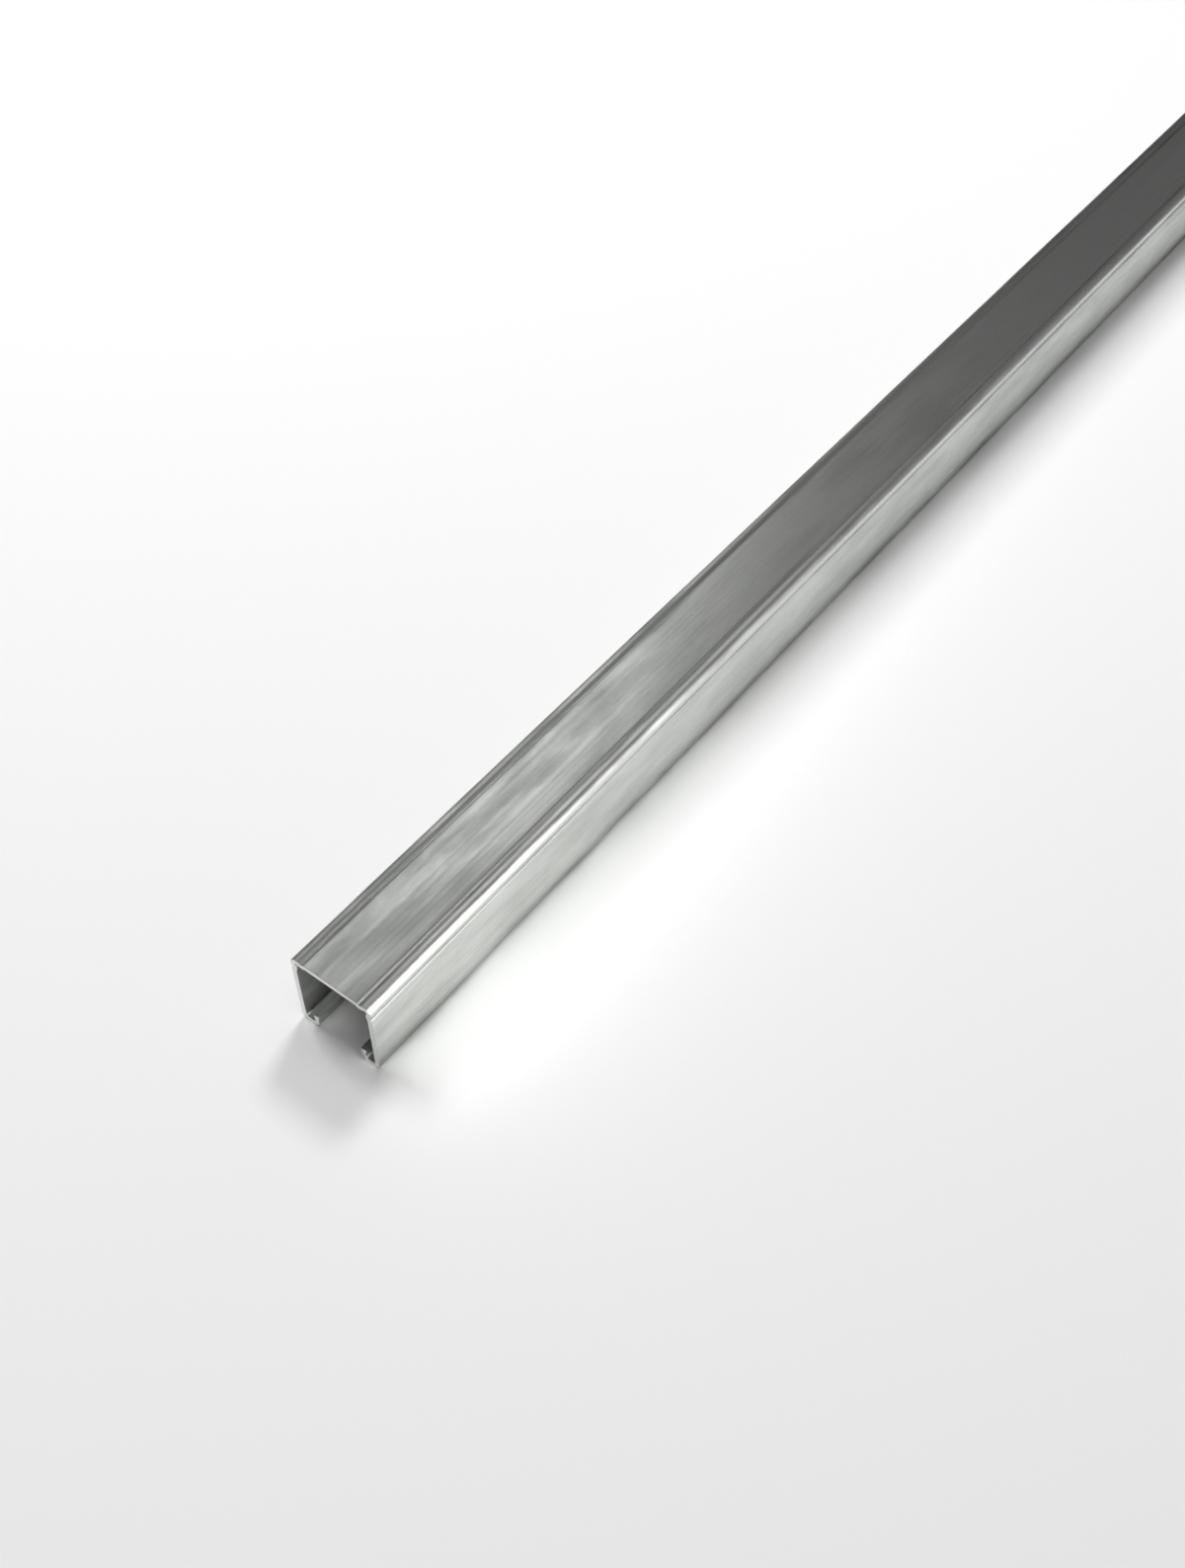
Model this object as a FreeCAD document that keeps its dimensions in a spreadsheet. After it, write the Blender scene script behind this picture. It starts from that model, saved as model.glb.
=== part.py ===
import FreeCAD
import Part
import Sketcher
import math
import os
from FreeCAD import Vector

# Strut channel: one length of steel strip, cold rolled into a C-shaped section. The flat back (the web)
# joins two side walls (the flanges); the free edges turn inwards as lips and back up into the channel.
# Four shallow beads stiffen it: one along each side of the web and one near the top of each flange.
# The channel lies on its lips, with the web on top. X runs along it, Y across it and Z up; the origin is
# midway along and midway across, on the surface that the lips rest on.

os.makedirs("parts", exist_ok=True)
doc = FreeCAD.newDocument("strut_channel")

# Driving dimensions in millimetres: alias, value, meaning.
DIMENSIONS = [
    ("channel_length", 1000.0, "cut length of the stock"),
    ("channel_width", 41.3, "over the outer faces of the flanges"),
    ("channel_height", 41.3, "from the resting face of the lips to the back of the web"),
    ("strip_thickness", 2.5, "thickness of the rolled strip"),
    ("corner_bend", 0.7, "inside radius of the bends between web and flanges"),
    ("lip_bend", 0.6, "inside radius of the two bends of each lip"),
    ("lip_flat", 3.3, "flat under a lip, between its two bends"),
    ("lip_rise", 7.2, "from the resting face to the upper edge of the lip"),
    ("bead_flat", 0.3, "flat left between a corner bend and the bead beside it"),
    ("bead_depth", 0.6, "how far a bead is pressed into its wall"),
    ("bead_bend", 1.0, "inside radius of the three bends of a bead"),
]
sheet = doc.addObject("Spreadsheet::Sheet", "dimensions")
size = {}
for row, (alias, value, meaning) in enumerate(DIMENSIONS, start=1):
    sheet.set(f"A{row}", alias)
    sheet.set(f"B{row}", str(value))
    sheet.set(f"C{row}", meaning)
    sheet.setAlias(f"B{row}", alias)
    size[alias] = value
doc.recompute()

START, END, CENTRE = 1, 2, 3  # Sketcher's numbers for the points of a line or an arc
ORIGIN = (-1, 1)  # the origin of a sketch
UPRIGHT_AXIS = -2


def plane_of(body, role):
    """One of a body's own origin planes."""
    return next(feature for feature in body.Origin.OriginFeatures if feature.Role == role)


def hold(sketch, kind, *target, to):
    """Adds a dimension to a sketch and binds it to a formula of the sheet's aliases."""
    if kind == "Radius":
        drawn = sketch.Geometry[target[0]].Radius
    else:
        span = sketch.getPoint(*target[2:]) - sketch.getPoint(*target[:2])
        drawn = span.x if kind == "DistanceX" else span.y
    index = sketch.addConstraint(Sketcher.Constraint(kind, *target, drawn))
    bound = " ".join(f"dimensions.{word}" if word in size else word for word in to.split())
    sketch.setExpression(f"Constraints[{index}]", bound)


class StripFace:
    """One face of the strip in a sketch: level and upright lines joined by tangent bends."""

    def __init__(self, sketch, x, y):
        self.sketch = sketch
        self.at = Vector(x, y, 0)
        self.last = None

    def join(self, index, start, end, at):
        """Joins a new curve to the last one, tangent to it, and moves on to its other end."""
        if self.last:
            self.sketch.addConstraint(Sketcher.Constraint("Tangent", *self.last, index, start))
        self.last = (index, end)
        self.at = at
        return index

    def line(self, x=None, y=None):
        """A level line to x, or an upright line to y."""
        end = Vector(self.at.x if x is None else x, self.at.y if y is None else y, 0)
        index = self.sketch.addGeometry(Part.LineSegment(self.at, end), False)
        self.sketch.addConstraint(Sketcher.Constraint("Vertical" if x is None else "Horizontal", index))
        return self.join(index, START, END, end)

    def bend(self, heading, turn, radius, to):
        """An arc that leaves the present point along a heading and turns by some degrees, left positive."""
        side = math.copysign(90, turn)
        centre = self.at + radius * unit(heading + side)
        first, final = heading - side, heading - side + turn
        circle = Part.Circle(centre, Vector(0, 0, 1), radius)
        low, high = math.radians(min(first, final)), math.radians(max(first, final))
        index = self.sketch.addGeometry(Part.ArcOfCircle(circle, low, high), False)
        hold(self.sketch, "Radius", index, to=to)
        ends = (START, END) if turn > 0 else (END, START)
        return self.join(index, *ends, centre + radius * unit(final))


def unit(degrees):
    """The unit vector of a direction."""
    return Vector(math.cos(math.radians(degrees)), math.sin(math.radians(degrees)), 0)


def draw_face(sketch, depth):
    """Draws the half of one face of the strip, from the middle of the web to the edge of the lip.

    The depth is how far the face lies inside the outer one: nothing or the strip's thickness.
    """
    inset = size.get(depth, 0.0)
    thick = size["strip_thickness"]
    half = size["channel_width"] / 2
    high = size["channel_height"]
    outside = f"strip_thickness - {depth}"

    # A bead is three bends: in, back and out again. Its angle follows from its depth and the two radii
    # that meet in it.
    reach = 2 * size["bead_bend"] + thick
    angle = math.degrees(math.acos(1 - size["bead_depth"] / reach))
    shoulder = size["bead_bend"] + thick - inset
    hollow = size["bead_bend"] + inset
    bead_width = 2 * reach * math.sin(math.radians(angle))
    corner = size["corner_bend"] + thick
    to_bead = corner + size["bead_flat"]

    def bead(heading, kind, to):
        """A bead across a wall that runs along a heading; how deep it goes is held at its middle bend."""
        face.bend(heading, -angle, shoulder, f"bead_bend + {outside}")
        middle = face.bend(heading - angle, 2 * angle, hollow, f"bead_bend + {depth}")
        face.bend(heading + angle, -angle, shoulder, f"bead_bend + {outside}")
        hold(sketch, kind, *ORIGIN, middle, CENTRE, to=to)

    face = StripFace(sketch, 0, high - inset)
    middle_of_web = face.line(x=half - to_bead - bead_width)
    sketch.addConstraint(Sketcher.Constraint("PointOnObject", middle_of_web, START, UPRIGHT_AXIS))
    hold(sketch, "DistanceY", *ORIGIN, middle_of_web, START, to=f"channel_height - {depth}")
    bead(0, "DistanceY", "channel_height - bead_depth + bead_bend")
    side_of_web = face.line(x=half - corner)
    hold(sketch, "DistanceY", *ORIGIN, side_of_web, START, to=f"channel_height - {depth}")
    hold(sketch, "DistanceX", side_of_web, START, side_of_web, END, to="bead_flat")
    face.bend(0, -90, corner - inset, f"corner_bend + {outside}")

    top_of_flange = face.line(y=high - to_bead)
    hold(sketch, "DistanceX", *ORIGIN, top_of_flange, START, to=f"channel_width / 2 - {depth}")
    hold(sketch, "DistanceY", top_of_flange, END, top_of_flange, START, to="bead_flat")
    bead(-90, "DistanceX", "channel_width / 2 - bead_depth + bead_bend")
    lip = size["lip_bend"] + thick
    flange = face.line(y=lip)
    hold(sketch, "DistanceX", *ORIGIN, flange, START, to=f"channel_width / 2 - {depth}")
    face.bend(-90, -90, lip - inset, f"lip_bend + {outside}")

    underside = face.line(x=half - lip - size["lip_flat"])
    hold(sketch, "DistanceY", *ORIGIN, underside, START, to=depth)
    hold(sketch, "DistanceX", underside, END, underside, START, to="lip_flat")
    face.bend(180, -90, lip - inset, f"lip_bend + {outside}")
    edge = face.line(y=size["lip_rise"])
    hold(sketch, "DistanceY", *ORIGIN, edge, END, to="lip_rise")
    return middle_of_web, edge


def close(sketch, first, final):
    """Draws a line across the strip's thickness, from a point of one face to a point of the other."""
    ends = [sketch.getPoint(*first), sketch.getPoint(*final)]
    index = sketch.addGeometry(Part.LineSegment(*ends), False)
    sketch.addConstraint(Sketcher.Constraint("Coincident", index, START, *first))
    sketch.addConstraint(Sketcher.Constraint("Coincident", index, END, *final))


# The channel: half of the section, rolled along the whole length, and its mirror image.
channel = doc.addObject("PartDesign::Body", "channel")
channel.Label = "strut_channel"
half_section = channel.newObject("Sketcher::SketchObject", "half_section")
half_section.AttachmentSupport = (plane_of(channel, "YZ_Plane"), "")
half_section.MapMode = "FlatFace"
outer_middle, outer_edge = draw_face(half_section, "0")
inner_middle, inner_edge = draw_face(half_section, "strip_thickness")
close(half_section, (outer_middle, START), (inner_middle, START))
close(half_section, (outer_edge, END), (inner_edge, END))
doc.recompute()

half_channel = channel.newObject("PartDesign::Pad", "half_channel")
half_channel.Profile = half_section
half_channel.SideType = "Symmetric"
half_channel.setExpression("Length", "dimensions.channel_length")
doc.recompute()

both_halves = channel.newObject("PartDesign::Mirrored", "both_halves")
both_halves.Originals = [half_channel]
both_halves.MirrorPlane = (plane_of(channel, "XZ_Plane"), [""])
channel.Tip = both_halves
doc.recompute()

for item in doc.Objects:
    if "Invalid" in item.State or "Error" in item.State:
        raise RuntimeError(f"{item.Label} failed: {item.State}")
shape = channel.Shape
if shape.isNull() or not shape.isValid() or len(shape.Solids) != 1:
    raise RuntimeError(f"{channel.Label} is not one valid solid")
box = shape.BoundBox
print(f"{channel.Label}: {box.XLength:.2f} x {box.YLength:.2f} x {box.ZLength:.2f} mm, "
      f"section {shape.Volume / size['channel_length']:.1f} mm2")
shape.exportStep(f"parts/{channel.Label}.step")
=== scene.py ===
import math

import bmesh
import bpy
from mathutils import Matrix, Vector


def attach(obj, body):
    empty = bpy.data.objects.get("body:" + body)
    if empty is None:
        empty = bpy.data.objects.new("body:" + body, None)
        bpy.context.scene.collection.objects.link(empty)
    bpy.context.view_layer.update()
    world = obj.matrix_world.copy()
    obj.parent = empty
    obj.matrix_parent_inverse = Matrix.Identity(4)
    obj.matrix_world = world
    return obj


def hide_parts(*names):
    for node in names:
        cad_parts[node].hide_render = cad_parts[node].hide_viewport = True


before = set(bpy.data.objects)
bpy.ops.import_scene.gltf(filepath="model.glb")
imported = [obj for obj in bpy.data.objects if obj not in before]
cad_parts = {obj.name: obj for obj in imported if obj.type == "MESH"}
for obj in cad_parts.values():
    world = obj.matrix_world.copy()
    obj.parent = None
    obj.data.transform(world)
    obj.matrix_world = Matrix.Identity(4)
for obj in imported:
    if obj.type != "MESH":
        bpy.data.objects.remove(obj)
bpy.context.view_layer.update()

# ---------------------------------------------------------------------------------------------
# The channel: one strip of steel, 2.5 mm thick, cold rolled through a line of rolls into a C-section
# and sawn to length. The rolls press four beads into it and turn its edges in and back up as lips.
# Its section is drawn in mm as the path that one half of the strip takes, and swept along X.
# ---------------------------------------------------------------------------------------------
LENGTH = 1000.0
WIDTH = 41.3
HEIGHT = 41.3
STRIP = 2.5
CORNER_BEND = 0.7  # this and the next two are inside radii
LIP_BEND = 0.6
BEAD_BEND = 1.0
LIP_FLAT = 3.3  # under a lip, between its two bends
LIP_RISE = 7.2  # from the floor to the lip's upper edge
BEAD_DEPTH = 0.6
BEAD_FLAT = 0.3  # between a corner bend and the bead beside it
BEND_STEP = 7.0  # degrees from one point of a bend to the next
FEWEST_STEPS = 4

corner = CORNER_BEND + STRIP
lip = LIP_BEND + STRIP
bead_reach = 2 * BEAD_BEND + STRIP
bead_turn = math.degrees(math.acos(1 - BEAD_DEPTH / bead_reach))
bead_width = 2 * bead_reach * math.sin(math.radians(bead_turn))
beyond_bead = corner + BEAD_FLAT + bead_width

bead = [("bend", turn, BEAD_BEND) for turn in (-bead_turn, 2 * bead_turn, -bead_turn)]
rolled_path = [
    ("run", WIDTH / 2 - beyond_bead),
    *bead,
    ("run", BEAD_FLAT),
    ("bend", -90, CORNER_BEND),
    ("run", BEAD_FLAT),
    *bead,
    ("run", HEIGHT - beyond_bead - lip),
    ("bend", -90, LIP_BEND),
    ("run", LIP_FLAT),
    ("bend", -90, LIP_BEND),
    ("run", LIP_RISE - lip),
]


def direction(degrees):
    """The unit vector of a direction in the section."""
    return Vector((math.cos(math.radians(degrees)), math.sin(math.radians(degrees))))


def strip_face(inset):
    """Points, in mm, along half of one face of the strip, from the middle of the web to the lip's edge."""
    at = Vector((0, HEIGHT - inset))
    heading = 0
    points = [at.copy()]
    for kind, amount, *inside in rolled_path:
        if kind == "run":
            at = at + amount * direction(heading)
            points.append(at.copy())
            continue
        radius = inside[0] + (STRIP - inset if amount < 0 else inset)
        side = math.copysign(90, amount)
        centre = at + radius * direction(heading + side)
        steps = max(FEWEST_STEPS, round(abs(amount) / BEND_STEP))
        for step in range(1, steps + 1):
            at = centre + radius * direction(heading - side + amount * step / steps)
            points.append(at.copy())
        heading += amount
    return points


# Half of the section, and its mirror image without the two points that lie on the mirror line.
half = strip_face(0) + strip_face(STRIP)[::-1]
section = half[::-1][1:-1] + [Vector((-point.x, point.y)) for point in half]

profile = bpy.data.curves.new("rolled_section", "CURVE")
spline = profile.splines.new("POLY")
spline.points.add(len(section) - 1)
for point, place in zip(spline.points, section):
    point.co = (place.x / 1000, place.y / 1000, 0, 1)
spline.use_cyclic_u = True
swept = bpy.data.objects.new("swept", profile)
bpy.context.collection.objects.link(swept)


def add(tree, kind, settings=None, **inputs):
    """Adds a node to a tree, with its settings, and its inputs as values or as sockets to link from.

    An input is given by its name, or as i and its number.
    """
    node = tree.nodes.new(kind)
    for name, value in (settings or {}).items():
        setattr(node, name, value)
    for name, value in inputs.items():
        key = int(name[1:]) if name[0] == "i" and name[1:].isdigit() else name.replace("_", " ")
        socket = node.inputs[key]
        if isinstance(value, bpy.types.NodeSocket):
            tree.links.new(value, socket)
        else:
            socket.default_value = value
    return node


def linear(colour):
    """A colour's sRGB hex value as linear red, green, blue and alpha."""
    parts = [int(colour[i:i + 2], 16) / 255 for i in (1, 3, 5)]
    return (*[part / 12.92 if part <= 0.04045 else ((part + 0.055) / 1.055) ** 2.4 for part in parts], 1)


def spread(tree, length, width):
    """Object coordinates for a pattern whose marks are so many mm long and wide along the channel."""
    place = add(tree, "ShaderNodeTexCoord")
    scale = (1000 / length, 1000 / width, 1000 / width)
    return add(tree, "ShaderNodeVectorMath", {"operation": "MULTIPLY"}, i0=place.outputs["Object"],
               i1=scale).outputs[0]


# Pre-galvanised strip: zinc that the rolls have burnished lengthwise. It looks like a satin, neutral
# grey with duller patches and streaks. The front corner is lighter, partly as wear and partly as a painted
# highlight, and painted shade darkens the beads, the inside, the lips, the flanges' bottom and the rear edge
# of the web.
# The lines that the rolls leave are hundredths of a mm wide, and are drawn 0.25 mm wide so that they show.
DULL_ZINC = "#ACAEAB"
CLEAN_ZINC = "#D9DBD8"
# Lighter zinc for the front corner: part wear, part painted highlight.
WORN_HIGHLIGHT_ZINC = "#DADBDA"
# The grey of the painted shade in the beads, the inside, the lips, the flanges' bottom and the web's rear
# edge.
SHADE_GREY = "#5E605C"
PATCH = (45, 11)  # each mark's length and width, in mm
STREAK = (240, 1.6)
ROLL_LINE = (60, 0.25)
SPECK = (3.5, 2.2)
ROLL_LINE_DEPTH = 0.00004  # m, as the next one
PATCH_SWELL = 0.0003
BOTTOM_SHADE_TOP = 0.0085  # m above the floor: painted shade along the flanges' bottom fades out from the second height up to the first
BOTTOM_SHADE_FULL = 0.003
STREAK_SHARE = 0.4  # how much of the mottling comes from streaks and from specks
SPECK_SHARE = 0.22
STEEL_GRAIN = 0.6
DULLEST = 0.55
SHINIEST = 0.37
# How much rougher the strip is made where the painted shade lies.
SHADED_ROUGHER = 0.15

steel = bpy.data.materials.new("galvanised_strip")
steel.use_nodes = True
tree = steel.node_tree
tree.nodes.clear()

patches = add(tree, "ShaderNodeTexNoise", Vector=spread(tree, *PATCH), Scale=1.0, Detail=4.0, Roughness=0.55)
patchy = add(tree, "ShaderNodeMapRange", Value=patches.outputs[0], From_Min=0.36, From_Max=0.64)
streaks = add(tree, "ShaderNodeTexNoise", Vector=spread(tree, *STREAK), Scale=1.0, Detail=3.0, Roughness=0.6)
streaky = add(tree, "ShaderNodeMapRange", Value=streaks.outputs[0], From_Min=0.3, From_Max=0.7)
roll_lines = add(tree, "ShaderNodeTexNoise", Vector=spread(tree, *ROLL_LINE), Scale=1.0, Detail=2.0,
                 Roughness=0.5)
specks = add(tree, "ShaderNodeTexNoise", Vector=spread(tree, *SPECK), Scale=1.0, Detail=3.0, Roughness=0.7)
mottled = add(tree, "ShaderNodeMix", {"data_type": "FLOAT"}, i0=STREAK_SHARE, i2=patchy.outputs[0],
              i3=streaky.outputs[0])
mottle = add(tree, "ShaderNodeMix", {"data_type": "FLOAT"}, i0=SPECK_SHARE, i2=mottled.outputs[0],
             i3=specks.outputs[0])
zinc = add(tree, "ShaderNodeMix", {"data_type": "RGBA"}, i0=mottle.outputs[0], i6=linear(DULL_ZINC),
           i7=linear(CLEAN_ZINC))

# The front corner drawn lighter in streaks: part wear, part painted highlight.
front_corner = add(tree, "ShaderNodeAttribute", {"attribute_name": "rubbed_and_highlit"})
corner_lightening = add(tree, "ShaderNodeMath", {"operation": "MULTIPLY"}, i0=front_corner.outputs["Fac"],
           i1=streaky.outputs[0])
lightened_zinc = add(tree, "ShaderNodeMix", {"data_type": "RGBA"}, i0=corner_lightening.outputs[0], i6=zinc.outputs[2],
                i7=linear(WORN_HIGHLIGHT_ZINC))

# Painted shade: where shade falls (the inside, the lips, the beads, the web's rear edge and the flanges'
# bottom), the zinc is mixed in patches towards a dark grey and made rougher.
shade_mask = add(tree, "ShaderNodeAttribute", {"attribute_name": "painted_shade"})
place = add(tree, "ShaderNodeTexCoord")
height = add(tree, "ShaderNodeSeparateXYZ", i0=place.outputs["Object"])
# Painted shade along the bottom of the flanges, full below the lower height and fading out above it.
bottom_shade = add(tree, "ShaderNodeMapRange", Value=height.outputs["Z"], From_Min=BOTTOM_SHADE_TOP,
               From_Max=BOTTOM_SHADE_FULL)
shaded_where = add(tree, "ShaderNodeMath", {"operation": "MAXIMUM"}, i0=shade_mask.outputs["Fac"],
              i1=bottom_shade.outputs[0])
shade_patches = add(tree, "ShaderNodeMapRange", Value=patches.outputs[0], From_Min=0.3, From_Max=0.6, To_Min=0.75,
             To_Max=0.35)
shade_amount = add(tree, "ShaderNodeMath", {"operation": "MULTIPLY"}, i0=shaded_where.outputs[0], i1=shade_patches.outputs[0])
coloured = add(tree, "ShaderNodeMix", {"data_type": "RGBA"}, i0=shade_amount.outputs[0], i6=lightened_zinc.outputs[2],
               i7=linear(SHADE_GREY))

sheen = add(tree, "ShaderNodeMapRange", Value=mottle.outputs[0], From_Min=0.2, From_Max=0.8,
            To_Min=DULLEST, To_Max=SHINIEST)
duller = add(tree, "ShaderNodeMath", {"operation": "MULTIPLY_ADD"}, i0=shade_amount.outputs[0], i1=SHADED_ROUGHER,
             i2=sheen.outputs[0])
lengthwise = add(tree, "ShaderNodeCombineXYZ", X=1.0)
lined = add(tree, "ShaderNodeBump", Strength=0.35, Distance=ROLL_LINE_DEPTH, Height=roll_lines.outputs[0])
uneven = add(tree, "ShaderNodeBump", Strength=0.25, Distance=PATCH_SWELL, Height=patches.outputs[0],
             Normal=lined.outputs[0])
surface = add(tree, "ShaderNodeBsdfPrincipled", Base_Color=coloured.outputs[2], Metallic=1.0,
              Roughness=duller.outputs[0], Anisotropic=STEEL_GRAIN, Tangent=lengthwise.outputs[0],
              Normal=uneven.outputs[0])
add(tree, "ShaderNodeOutputMaterial", Surface=surface.outputs[0])

# Bare steel where the stock was sawn off: brighter than the zinc, with the saw's fine slanting marks.
PALE_CUT = "#E8E8E7"
DARK_CUT = "#C8C8C6"
SAW_SLANT = 24  # degrees
SAW_MARK = (18, 0.35)  # length and width, in mm
SAW_DEPTH = 0.00006  # m

sawn = bpy.data.materials.new("sawn_steel")
sawn.use_nodes = True
tree = sawn.node_tree
tree.nodes.clear()
place = add(tree, "ShaderNodeTexCoord")
slant = add(tree, "ShaderNodeMapping", Vector=place.outputs["Object"],
            Rotation=(math.radians(SAW_SLANT), 0, 0), Scale=(1000, 1000 / SAW_MARK[0], 1000 / SAW_MARK[1]))
saw_marks = add(tree, "ShaderNodeTexNoise", Vector=slant.outputs[0], Scale=1.0, Detail=2.0, Roughness=0.6)
cut_colour = add(tree, "ShaderNodeMix", {"data_type": "RGBA"}, i0=saw_marks.outputs[0], i6=linear(DARK_CUT),
                 i7=linear(PALE_CUT))
cut_sheen = add(tree, "ShaderNodeMapRange", Value=saw_marks.outputs[0], To_Min=0.5, To_Max=0.36)
cut_bump = add(tree, "ShaderNodeBump", Strength=0.5, Distance=SAW_DEPTH, Height=saw_marks.outputs[0])
bare = add(tree, "ShaderNodeBsdfPrincipled", Base_Color=cut_colour.outputs[2], Metallic=1.0,
           Roughness=cut_sheen.outputs[0], Normal=cut_bump.outputs[0])
add(tree, "ShaderNodeOutputMaterial", Surface=bare.outputs[0])

# The rolling itself: the section swept along the channel's length, closed at both ends, smooth over its
# bends and sharp at the strip's edges, with the zinc along it and bare steel on the two end faces.
SHARP_FROM = 30  # degrees between two faces
END_FACING = 0.9  # how far a face's normal points along X

sweep = bpy.data.node_groups.new("sweep", "GeometryNodeTree")
sweep.interface.new_socket("Geometry", in_out="INPUT", socket_type="NodeSocketGeometry")
length = sweep.interface.new_socket("Length", in_out="INPUT", socket_type="NodeSocketFloat")
finish = sweep.interface.new_socket("Finish", in_out="INPUT", socket_type="NodeSocketMaterial")
cut_finish = sweep.interface.new_socket("Cut finish", in_out="INPUT", socket_type="NodeSocketMaterial")
sweep.interface.new_socket("Geometry", in_out="OUTPUT", socket_type="NodeSocketGeometry")
given = add(sweep, "NodeGroupInput")

far_end = add(sweep, "ShaderNodeMath", {"operation": "MULTIPLY"}, i0=given.outputs["Length"], i1=0.5)
near_end = add(sweep, "ShaderNodeMath", {"operation": "MULTIPLY"}, i0=given.outputs["Length"], i1=-0.5)
start = add(sweep, "ShaderNodeCombineXYZ", X=near_end.outputs[0])
end = add(sweep, "ShaderNodeCombineXYZ", X=far_end.outputs[0])
path = add(sweep, "GeometryNodeCurvePrimitiveLine", Start=start.outputs[0], End=end.outputs[0])
upright = add(sweep, "GeometryNodeTransform", Geometry=given.outputs["Geometry"], Rotation=(0, 0, math.pi))
rolled = add(sweep, "GeometryNodeCurveToMesh", Curve=path.outputs[0], Profile_Curve=upright.outputs[0],
             Fill_Caps=True)

smooth = add(sweep, "GeometryNodeSetShadeSmooth", Geometry=rolled.outputs[0])
edge_angle = add(sweep, "GeometryNodeInputMeshEdgeAngle")
hard = add(sweep, "FunctionNodeCompare", {"operation": "GREATER_THAN"}, i0=edge_angle.outputs[0],
           i1=math.radians(SHARP_FROM))
sharp = add(sweep, "GeometryNodeSetShadeSmooth", {"domain": "EDGE"}, Geometry=smooth.outputs[0],
            Selection=hard.outputs[0], Shade_Smooth=False)
real = add(sweep, "GeometryNodeRealizeInstances", Geometry=sharp.outputs[0])

zinc_coated = add(sweep, "GeometryNodeSetMaterial", Geometry=real.outputs[0],
                  Material=given.outputs["Finish"])
facing = add(sweep, "ShaderNodeSeparateXYZ", i0=add(sweep, "GeometryNodeInputNormal").outputs[0])
along = add(sweep, "ShaderNodeMath", {"operation": "ABSOLUTE"}, i0=facing.outputs["X"])
end_faces = add(sweep, "FunctionNodeCompare", {"operation": "GREATER_THAN"}, i0=along.outputs[0],
                i1=END_FACING)
sawn_ends = add(sweep, "GeometryNodeSetMaterial", Geometry=zinc_coated.outputs[0],
                Selection=end_faces.outputs[0], Material=given.outputs["Cut finish"])
add(sweep, "NodeGroupOutput", Geometry=sawn_ends.outputs[0])

modifier = swept.modifiers.new("sweep", "NODES")
modifier.node_group = sweep
modifier[length.identifier] = LENGTH / 1000
modifier[finish.identifier] = steel
modifier[cut_finish.identifier] = sawn
depsgraph = bpy.context.evaluated_depsgraph_get()
mesh = bpy.data.meshes.new_from_object(swept.evaluated_get(depsgraph), depsgraph=depsgraph)
swept.modifiers.clear()

# The saw leaves the rims of the cut ends slightly broken, so they are rounded by 0.15 mm. An end face is
# the only face with more than four corners.
RIM = 0.15

rims = bmesh.new()
rims.from_mesh(mesh)
cut_edges = [edge for edge in rims.edges
             if len(edge.link_faces) == 2 and any(len(face.verts) > 4 for face in edge.link_faces)]
bmesh.ops.bevel(rims, geom=cut_edges, offset=RIM / 1000, offset_type="OFFSET", segments=2, affect="EDGES",
                profile=0.5, clamp_overlap=False)
rims.to_mesh(mesh)
rims.free()

# Where hands and straps rub the zinc bright, and a painted highlight lightens it too (the front corner),
# and where painted shade darkens it (the inside, the lips, the beads and the rear edge of the web).
SKIN = 0.3  # mm: a point this near to a face of the strip belongs to it
# How dark the painted shade is on the web's rear edge, and at the bottom of a bead.
REAR_SHADE = 0.55
BEAD_SHADE = 0.8
CORNER_MARGIN = 0.1

rubbed_and_highlit = mesh.attributes.new("rubbed_and_highlit", "FLOAT", "POINT")
painted_shade = mesh.attributes.new("painted_shade", "FLOAT", "POINT")
for vertex in mesh.vertices:
    across = 1000 * vertex.co.y
    high = 1000 * vertex.co.z
    inward = 1000 * min(WIDTH / 2000 - abs(vertex.co.y), HEIGHT / 1000 - vertex.co.z)
    near_top = HEIGHT - high < corner
    if inward > STRIP - SKIN or high < LIP_RISE and inward > SKIN:
        painted_shade.data[vertex.index].value = 1.0
    elif near_top and across < corner - WIDTH / 2 + CORNER_MARGIN:
        rubbed_and_highlit.data[vertex.index].value = 1.0
    elif near_top and across > WIDTH / 2 - beyond_bead:
        painted_shade.data[vertex.index].value = REAR_SHADE
    else:
        painted_shade.data[vertex.index].value = min(1, BEAD_SHADE * inward / BEAD_DEPTH)

channel = bpy.data.objects.new("rolled_channel", mesh)
bpy.context.collection.objects.link(channel)
bpy.data.objects.remove(swept)
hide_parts("strut_channel")
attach(channel, "root")

# ---------------------------------------------------------------------------------------------
# The floor: a plain pale sheet that the channel lies on. It is fully matt, so it mirrors neither the
# lamps nor the channel, and it fills the view from above.
# ---------------------------------------------------------------------------------------------
FLOOR_REACH = 6.0  # m from the middle to each edge
FLOOR_COLOUR = "#F4F4F4"

floor_mesh = bpy.data.meshes.new("floor")
floor_corners = [(FLOOR_REACH * x, FLOOR_REACH * y, 0) for x, y in ((-1, -1), (1, -1), (1, 1), (-1, 1))]
floor_mesh.from_pydata(floor_corners, [], [(0, 1, 2, 3)])
floor = bpy.data.objects.new("floor", floor_mesh)
bpy.context.collection.objects.link(floor)
paper = bpy.data.materials.new("pale_floor")
paper.use_nodes = True
paper.node_tree.nodes.clear()
sheet = add(paper.node_tree, "ShaderNodeBsdfPrincipled", Base_Color=linear(FLOOR_COLOUR), Roughness=0.9,
            Specular_IOR_Level=0.0)
add(paper.node_tree, "ShaderNodeOutputMaterial", Surface=sheet.outputs[0])
floor_mesh.materials.append(paper)

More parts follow.
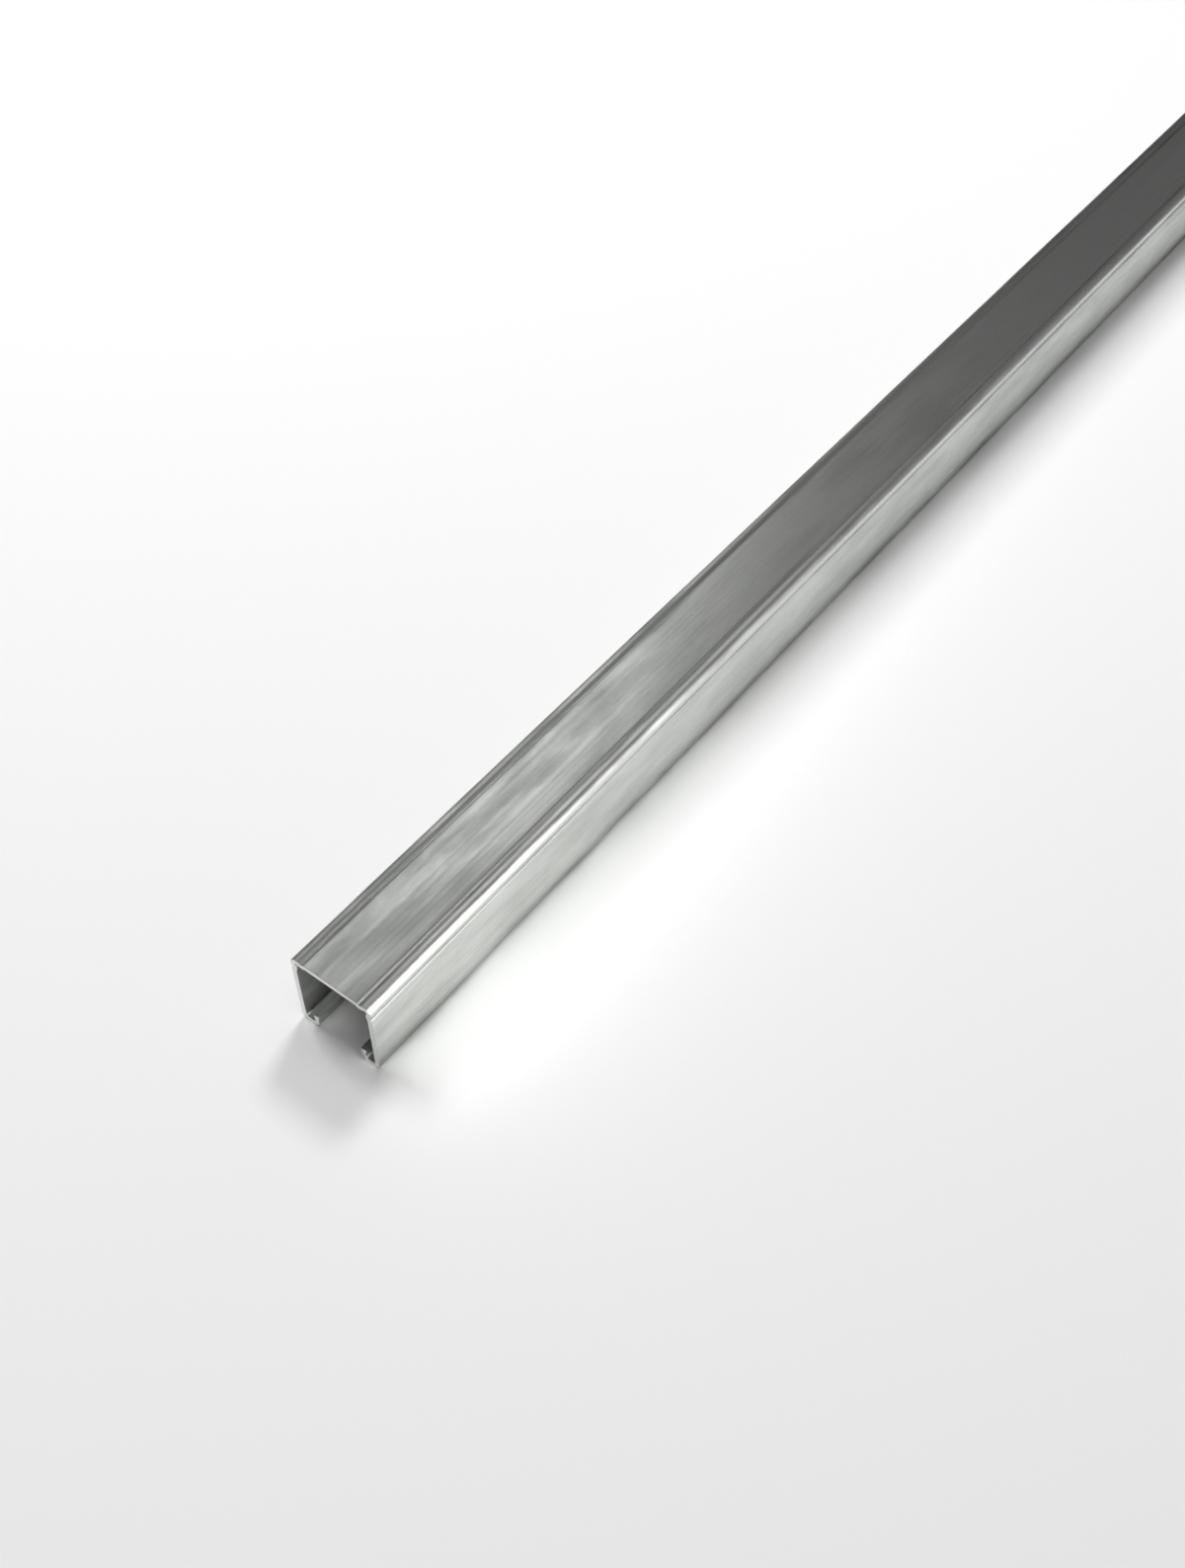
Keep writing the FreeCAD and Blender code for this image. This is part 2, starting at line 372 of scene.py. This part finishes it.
# ---------------------------------------------------------------------------------------------
# The light: a weak even sky and six square lamps that the camera doesn't see. Three lamps are mirrored in
# the steel and reach the floor only by way of it, as the bright patch beside the channel. The other three
# light the floor and cast the shadows, and the steel doesn't mirror them.
# ---------------------------------------------------------------------------------------------
SKY = 0.13
LIT_PLACE = Vector((-0.35, 0, 0.02))  # m: the near part of the channel, which every lamp faces

world = bpy.data.worlds.new("studio")
bpy.context.scene.world = world
world.use_nodes = True
world.node_tree.nodes.clear()
sky = add(world.node_tree, "ShaderNodeBackground", Color=(1, 1, 1, 1), Strength=SKY)
add(world.node_tree, "ShaderNodeOutputWorld", Surface=sky.outputs[0])


def softbox(name, azimuth, elevation, distance, size, power, mirrored):
    """A square lamp at a direction in degrees, and a distance in m, from the place that is lit."""
    level = math.cos(math.radians(elevation))
    toward = Vector((level * math.cos(math.radians(azimuth)), level * math.sin(math.radians(azimuth)),
                     math.sin(math.radians(elevation))))
    data = bpy.data.lights.new(name, "AREA")
    data.size = size
    data.energy = power
    lamp = bpy.data.objects.new(name, data)
    lamp.visible_camera = False
    lamp.visible_glossy = mirrored
    lamp.visible_diffuse = not mirrored
    aim = toward.to_track_quat("Z", "Y").to_matrix().to_4x4()
    lamp.matrix_world = Matrix.Translation(LIT_PLACE + distance * toward) @ aim
    bpy.context.collection.objects.link(lamp)


softbox("near", azimuth=232, elevation=25, distance=0.4, size=0.25, power=4.2, mirrored=True)
softbox("side", azimuth=250, elevation=15, distance=0.35, size=0.2, power=0.7, mirrored=True)
softbox("fill", azimuth=60, elevation=45, distance=0.45, size=0.35, power=0.5, mirrored=True)
softbox("behind", azimuth=85, elevation=58, distance=2.5, size=0.8, power=27, mirrored=False)
softbox("beyond", azimuth=18, elevation=52, distance=2.5, size=0.6, power=24, mirrored=False)
softbox("ceiling", azimuth=0, elevation=90, distance=2.5, size=2.4, power=16.5, mirrored=False)

# ---------------------------------------------------------------------------------------------
# The camera: above and in front of the near end, looking down along the channel.
# ---------------------------------------------------------------------------------------------
LENS = 39.77  # mm
SENSOR = 36  # mm

camera_data = bpy.data.cameras.new("camera")
camera_data.lens = LENS
camera_data.sensor_width = SENSOR
camera = bpy.data.objects.new("camera", camera_data)
stand = Vector((-0.7270, -0.2979, 0.5871))
right = Vector((0.6073, -0.7945, 0))
up = Vector((0.6078, 0.4646, 0.6441))
looking = Vector((0.5117, 0.3911, -0.7650))
camera.matrix_world = Matrix.Translation(stand) @ Matrix((right, up, -looking)).transposed().to_4x4()
bpy.context.collection.objects.link(camera)
bpy.context.scene.camera = camera
bpy.context.scene.view_settings.view_transform = "Standard"
